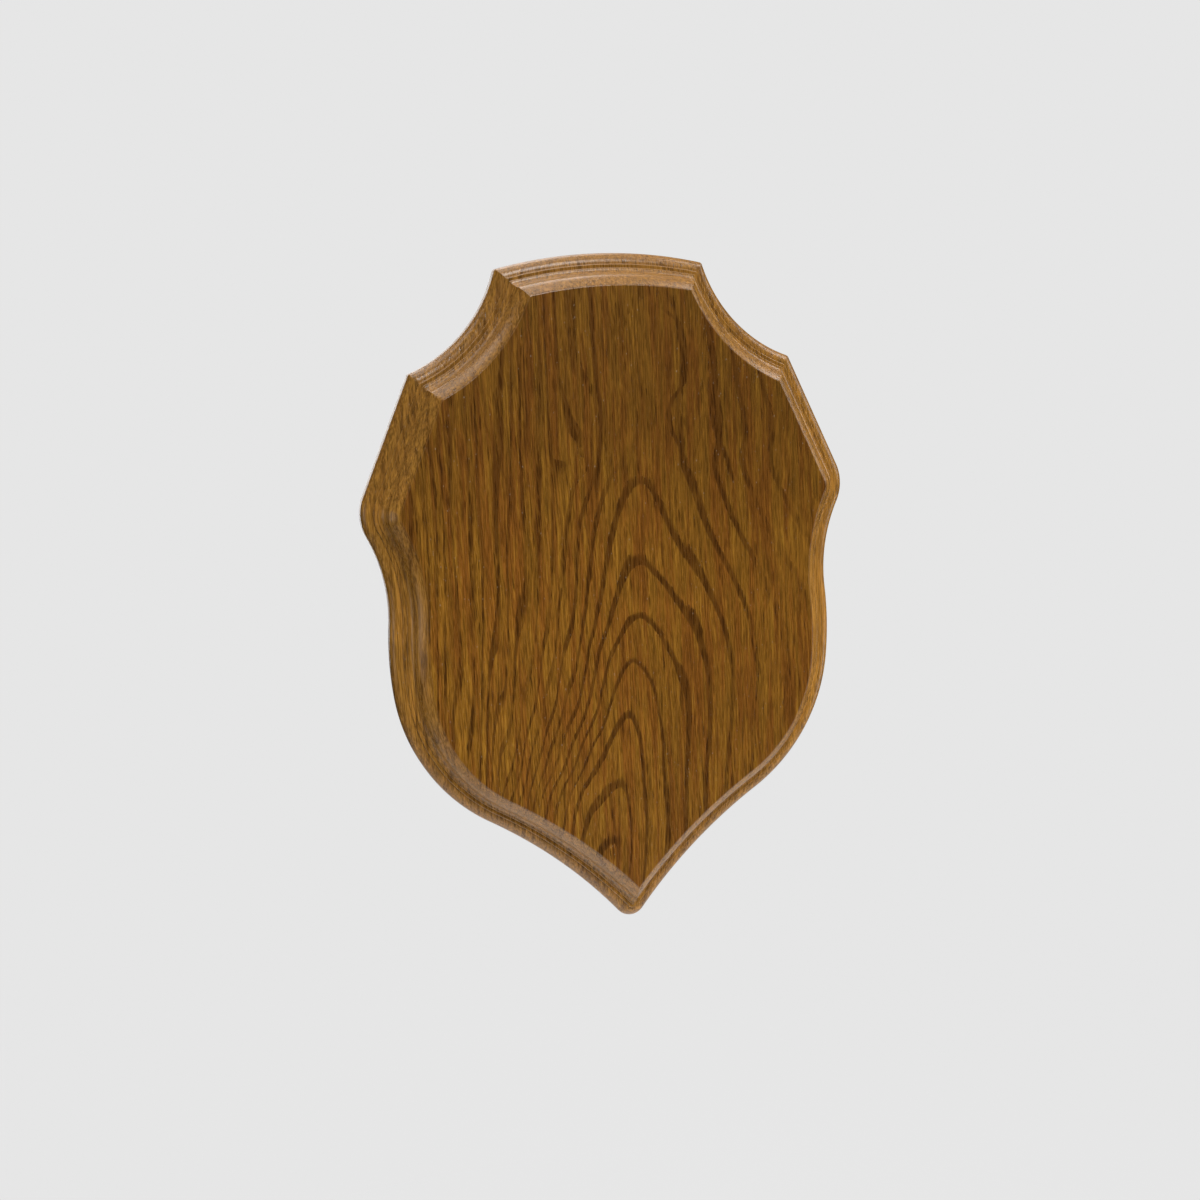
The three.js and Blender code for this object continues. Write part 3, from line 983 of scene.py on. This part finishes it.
FINISHES = (  # material, stain, lacquer and wear, in the order of the slots
    ("lacquered_oak", 1.0, 1.0, 0.16),
    ("oak_back", 0.85, 0.1, 0.0),
    ("routed_oak", 0.25, 0.0, 0.0),
)
VESSELS, FLECKS, DUST = (0.6, 6.5), (0.42, 4.0), (0.55, 0.9)  # width and length of each mark
VESSEL_DENSITY = (0.05, 0.97)  # between the pore rows and in them
FLECK_DENSITY, DUST_DENSITY = 0.42, 0.0005
FINE, MIDDLING, BROAD = (0.45, 10.0), (1.0, 28.0), (4.0, 60.0)  # width and length of the streaks
FINE_TONE, MIDDLING_TONE, RING_TONE = (0.42, 1.44), (-0.17, 0.29), (-0.06, 0.06)
PAINTED_SHADE_UP = (-10.0, 75.0, 1.05, 0.71)  # painted shade, darker towards the top: from one height to another, and the board's brightness at each
# painted shade across the board, from where it begins to where it is full at the right
PAINTED_SHADE_ACROSS = (-30.0, 45.0)
FIELD_RIGHT_SHADE, EDGE_RIGHT_SHADE = 0.87, 1.02  # painted shade: the board's brightness at the right of the field and of the shaped edge
SHAPED_SHARE, END_AND_SHEEN_SHARE, NOOK_SHADE_SHARE, DUST_SHARE = 0.65, 0.3, 0.25, 0.5  # of their colours in the mix: the nook's is painted shade, and the end grain's is partly painted sheen
END_CALM, SHAPED_CALM = 0.45, 0.5  # how clearly the marks show on end grain and on the shaped edge
ROUGHNESS = ((0.55, 0.29), (0.6, 0.31))  # least and most: of bare wood, and what lacquer takes away
END_ROUGHNESS, PIT_ROUGHNESS = 0.08, -0.08
PIT_DEPTH, PIT_LACQUER = 0.12, 0.05  # in bare wood, and how much of it lacquer fills
FLECK_DEPTH, STREAK_HEIGHT = 0.4, 0.25  # against a vessel's depth


def oak_material(name, groups, oak, stain, lacquer, wear):
    """Oak cut from one board.

    stain deepens the colour, lacquer fills the pores and adds gloss, and wear thins the stain on arrises.
    """
    material, w = fresh_material(name)
    coordinates = w.node("ShaderNodeTexCoord").outputs
    position = coordinates["Object"]
    arris = w.node("ShaderNodeAttribute", attribute_name="arris").outputs["Fac"]
    nook = w.node("ShaderNodeAttribute", attribute_name="nook").outputs["Fac"]

    fibres = use_group(w, groups["fibres"], {"Position": position})["Fibres"]
    rings = use_group(w, groups["rings"], {"Fibres": fibres})
    early = rings["Early Wood"]

    def marks(kind, width, length, **values):
        sizes = {"Fibres": fibres, "Width": width, "Length": length}
        return use_group(w, groups[kind], sizes | values)[0]

    in_rows = w.ramp(early, 0.0, 0.6, *VESSEL_DENSITY, smooth=False)
    vessels = marks("pores", *VESSELS, Density=in_rows)
    flecks = marks("pores", *FLECKS, Density=FLECK_DENSITY)
    dust = marks("pores", *DUST, Density=DUST_DENSITY)
    fine, middling, broad = (marks("streaks", *streak) for streak in (FINE, MIDDLING, BROAD))
    cut = use_group(w, groups["cut"], {"Normal": coordinates["Normal"], "Fibres": fibres})
    end = cut["End Grain"]
    shaped = cut["Shaped"]
    worn = use_group(w, groups["wear"], {"Position": position, "Arris": arris, "Amount": wear})["Wear"]

    wood = w.mix_colour(w.ramp(broad, 0.3, 0.75), rgba(oak.late_wood), rgba(oak.red_wood))
    wood = w.mix_colour(w.ramp(middling, 0.55, 0.95, 0.0, 0.5), wood, rgba(oak.gold_wood))
    wood = w.mix_colour(w.times(shaped, SHAPED_SHARE), wood, rgba(oak.shaped_wood))
    # The end grain colour is partly painted sheen on the faces turned up or down.
    wood = w.mix_colour(w.times(end, END_AND_SHEEN_SHARE), wood, rgba(oak.end_grain_and_sheen))
    tone = w.ramp(fine, 0.0, 1.0, *FINE_TONE, smooth=False)
    tone = w.math("ADD", tone, w.ramp(middling, 0.0, 1.0, *MIDDLING_TONE))
    tone = w.math("ADD", tone, w.ramp(rings["Ring Tone"], 0.0, 1.0, *RING_TONE))
    # Painted shade: the board darkens towards the top, and the field towards its right side.
    x, _, z = w.split(fibres)
    shade_at_right = w.mix(shaped, FIELD_RIGHT_SHADE, EDGE_RIGHT_SHADE)
    tone = w.times(tone, w.ramp(z, *PAINTED_SHADE_UP), w.ramp(x, *PAINTED_SHADE_ACROSS, 1.0, shade_at_right))
    wood = w.mix_colour(1.0, wood, w.join(tone, tone, tone), blend="MULTIPLY")
    calm = w.times(w.ramp(end, 0.0, 1.0, 1.0, END_CALM), w.ramp(shaped, 0.0, 1.0, 1.0, SHAPED_CALM))
    for mask, share, colour in (
        (early, 0.8, oak.early_wood),
        (flecks, 0.45, oak.early_wood),
        (vessels, 0.65, oak.pore_and_nook_shade),
    ):
        wood = w.mix_colour(w.times(calm, share, mask), wood, rgba(colour))
    # Painted shade: the inner corners of the moulding are darkened with the pore colour.
    wood = w.mix_colour(w.times(nook, NOOK_SHADE_SHARE), wood, rgba(oak.pore_and_nook_shade))
    wood = w.mix_colour(worn, wood, rgba(oak.worn))
    wood = w.mix_colour(w.times(dust, DUST_SHARE * lacquer), wood, rgba(oak.dust))
    wood = w.mix_colour(stain, rgba(oak.worn), wood)

    pits = w.math("MAXIMUM", vessels, w.times(flecks, FLECK_DEPTH))
    least, most = (bare - taken * lacquer for bare, taken in ROUGHNESS)
    rough = w.ramp(fine, 0.0, 1.0, least, most)
    rough = w.math("MULTIPLY_ADD", end, END_ROUGHNESS, rough)
    rough = w.math("MULTIPLY_ADD", pits, PIT_ROUGHNESS, rough)
    depth = (PIT_DEPTH - PIT_LACQUER * lacquer) * MM
    relief = w.math("MULTIPLY_ADD", fine, STREAK_HEIGHT, w.times(pits, -1.0))
    bump = w.node("ShaderNodeBump", {"Strength": 0.6, "Distance": depth, "Height": relief}).outputs["Normal"]
    finish = {"Base Color": wood, "Roughness": rough, "Normal": bump, "Specular IOR Level": 0.38}
    show(w, w.node("ShaderNodeBsdfPrincipled", finish).outputs["BSDF"])
    return material


# Studio

LIGHTS = (  # name, azimuth, elevation, width, distance, power in watts
    ("overhead_softbox", -40, 82, 0.7, 1.5, 6.2),
    ("front_softbox", 5, 42, 0.7, 1.5, 17.1),
    ("left_high_softbox", -90, 58, 0.7, 1.5, 4.6),
    ("right_high_softbox", 80, 50, 0.7, 1.5, 9.5),
    ("right_softbox", 82, 14, 0.8, 1.5, 4.3),
    ("right_low_softbox", 78, -20, 0.4, 1.2, 1.4),
    ("left_softbox", -90, 0, 0.8, 1.5, 2.2),
    ("under_softbox", 0, -80, 0.5, 0.5, 0.45),
    ("rear_high_softbox", 180, 55, 1.0, 1.6, 12.5),
    ("rear_low_softbox", 180, 5, 1.0, 1.6, 6.5),
)
AMBIENT = 0.02  # light from the surroundings, as a share of their brightness
FLOOR_RADIUS = 1.4
FLOOR_SOLID = 0.4  # share of the radius at which the floor starts to fade into the surroundings
FLOOR_EVENNESS = 0.95  # share of the backdrop's own even tone that the camera sees on the floor


def direction(azimuth, elevation):
    """The unit vector towards a bearing round the plaque, 0 straight in front and 90 to the right."""
    level = math.cos(elevation)
    return Vector((math.sin(azimuth) * level, -math.cos(azimuth) * level, math.sin(elevation)))


def set_up(thing, aim, towards, distance, roll=0.0):
    """Stands a lamp or a camera off from the point that it is aimed at."""
    thing.location = aim + towards * distance
    thing.rotation_mode = "QUATERNION"
    thing.rotation_quaternion = (-towards).to_track_quat("-Z", "Y") @ Quaternion((0, 0, 1), roll)


def add_light(name, azimuth, elevation, width, distance, power):
    lamp = bpy.data.lights.new(name, "AREA")
    lamp.shape = "DISK"
    lamp.size = width
    lamp.energy = power
    softbox = fresh_object(name, lamp)
    towards = direction(math.radians(azimuth), math.radians(elevation))
    set_up(softbox, Vector(), towards, distance)
    softbox.visible_camera = False


def add_surroundings(studio):
    """Pale all round to the camera, and dark to everything that it lights."""
    world = bpy.data.worlds.new("surroundings")
    world.use_nodes = True
    world.node_tree.nodes.clear()
    w = Wiring(world.node_tree)
    seen = w.node("ShaderNodeLightPath").outputs["Is Camera Ray"]
    strength = w.mix(seen, AMBIENT, 1.0)
    background = w.node("ShaderNodeBackground", {"Color": rgba(studio.backdrop), "Strength": strength})
    out = w.node("ShaderNodeOutputWorld")
    w.feed(out.inputs["Surface"], background.outputs[0])
    bpy.context.scene.world = world


def floor_material(studio):
    """Matt and pale, as even as a lit sweep of paper, and fading out so that no horizon shows."""
    material, w = fresh_material("pale_floor")
    position = w.node("ShaderNodeTexCoord").outputs["Object"]
    solid = w.ramp(w.length(position), FLOOR_RADIUS * FLOOR_SOLID, FLOOR_RADIUS, 1.0, 0.0)
    seen = w.node("ShaderNodeLightPath").outputs["Is Camera Ray"]
    paper = w.node("ShaderNodeBsdfDiffuse", {"Color": rgba(studio.backdrop)}).outputs[0]
    even = w.node("ShaderNodeEmission", {"Color": rgba(studio.backdrop)}).outputs[0]
    clear = w.node("ShaderNodeBsdfTransparent").outputs[0]
    evened = w.times(seen, FLOOR_EVENNESS)
    sheet = w.node("ShaderNodeMixShader", {0: evened, 1: paper, 2: even}).outputs[0]
    show(w, w.node("ShaderNodeMixShader", {0: solid, 1: clear, 2: sheet}).outputs[0])
    return material


def add_floor(studio):
    mesh = bpy.data.meshes.new("floor")
    disc = bmesh.new()
    bmesh.ops.create_circle(disc, cap_ends=True, segments=96, radius=FLOOR_RADIUS)
    disc.to_mesh(mesh)
    disc.free()
    mesh.materials.append(floor_material(studio))
    floor = fresh_object("floor", mesh)
    floor.location.z = -studio.floor_drop


def add_camera(studio):
    lens = bpy.data.cameras.new("camera")
    lens.sensor_width = 36.0
    lens.lens = studio.focal_length
    lens.clip_start = 0.01
    camera = fresh_object("camera", lens)
    back = direction(studio.azimuth, studio.elevation)
    set_up(camera, Vector(studio.look_at), back, studio.distance, studio.roll)
    bpy.context.scene.camera = camera


# Operators and panel


class PLAQUE_OT_make_studio(bpy.types.Operator):
    """Set up the pale floor, the softboxes and the camera"""

    bl_idname = "plaque.make_studio"
    bl_label = "Make studio"

    def execute(self, context):
        studio = context.scene.plaque_studio
        add_camera(studio)
        add_surroundings(studio)
        add_floor(studio)
        for light in LIGHTS:
            add_light(*light)
        context.scene.view_settings.view_transform = "Standard"
        return {"FINISHED"}


class PLAQUE_OT_make_plaque(bpy.types.Operator):
    """Make the moulded oak plaque with the keyhole slot in its back"""

    bl_idname = "plaque.make_plaque"
    bl_label = "Make plaque"

    def execute(self, context):
        scene = context.scene
        shell = plaque_shell(scene.plaque_outline, scene.plaque_moulding, scene.plaque_keyhole)
        mesh = mesh_from(shell, "oak_plaque")
        groups = {
            "fibres": fibres_group(),
            "rings": growth_rings_group(),
            "pores": pores_group(),
            "streaks": streaks_group(),
            "cut": cut_group(),
            "wear": edge_wear_group(),
        }
        for name, *finish in FINISHES:
            mesh.materials.append(oak_material(name, groups, scene.plaque_oak, *finish))
        plaque = fresh_object("oak_plaque", mesh)
        normals = plaque.modifiers.new("weighted normals", "WEIGHTED_NORMAL")
        normals.keep_sharp = True
        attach(plaque, "root")
        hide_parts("plaque")
        return {"FINISHED"}


class PLAQUE_PT_panel(bpy.types.Panel):
    """Lists the settings and the operators"""

    bl_idname = "PLAQUE_PT_panel"
    bl_label = "Trophy Mounting Plaque"
    bl_space_type = "VIEW_3D"
    bl_region_type = "UI"
    bl_category = "Plaque"

    def draw(self, context):
        for name in SETTINGS:
            settings = getattr(context.scene, name)
            box = self.layout.box()
            for key in settings.__annotations__:
                box.prop(settings, key)
        for operator in OPERATORS:
            self.layout.operator(operator.bl_idname)


SETTINGS = {
    "plaque_outline": OutlineSettings,
    "plaque_moulding": MouldingSettings,
    "plaque_keyhole": KeyholeSettings,
    "plaque_oak": OakSettings,
    "plaque_studio": StudioSettings,
}
OPERATORS = (PLAQUE_OT_make_studio, PLAQUE_OT_make_plaque)
CLASSES = (*SETTINGS.values(), *OPERATORS, PLAQUE_PT_panel)


def register():
    for cls in CLASSES:
        bpy.utils.register_class(cls)
    for name, settings in SETTINGS.items():
        setattr(bpy.types.Scene, name, PointerProperty(type=settings))


def unregister():
    for name in SETTINGS:
        delattr(bpy.types.Scene, name)
    for cls in reversed(CLASSES):
        bpy.utils.unregister_class(cls)


def main():
    register()
    bpy.ops.plaque.make_studio()
    bpy.ops.plaque.make_plaque()


if __name__ == "__main__":
    main()
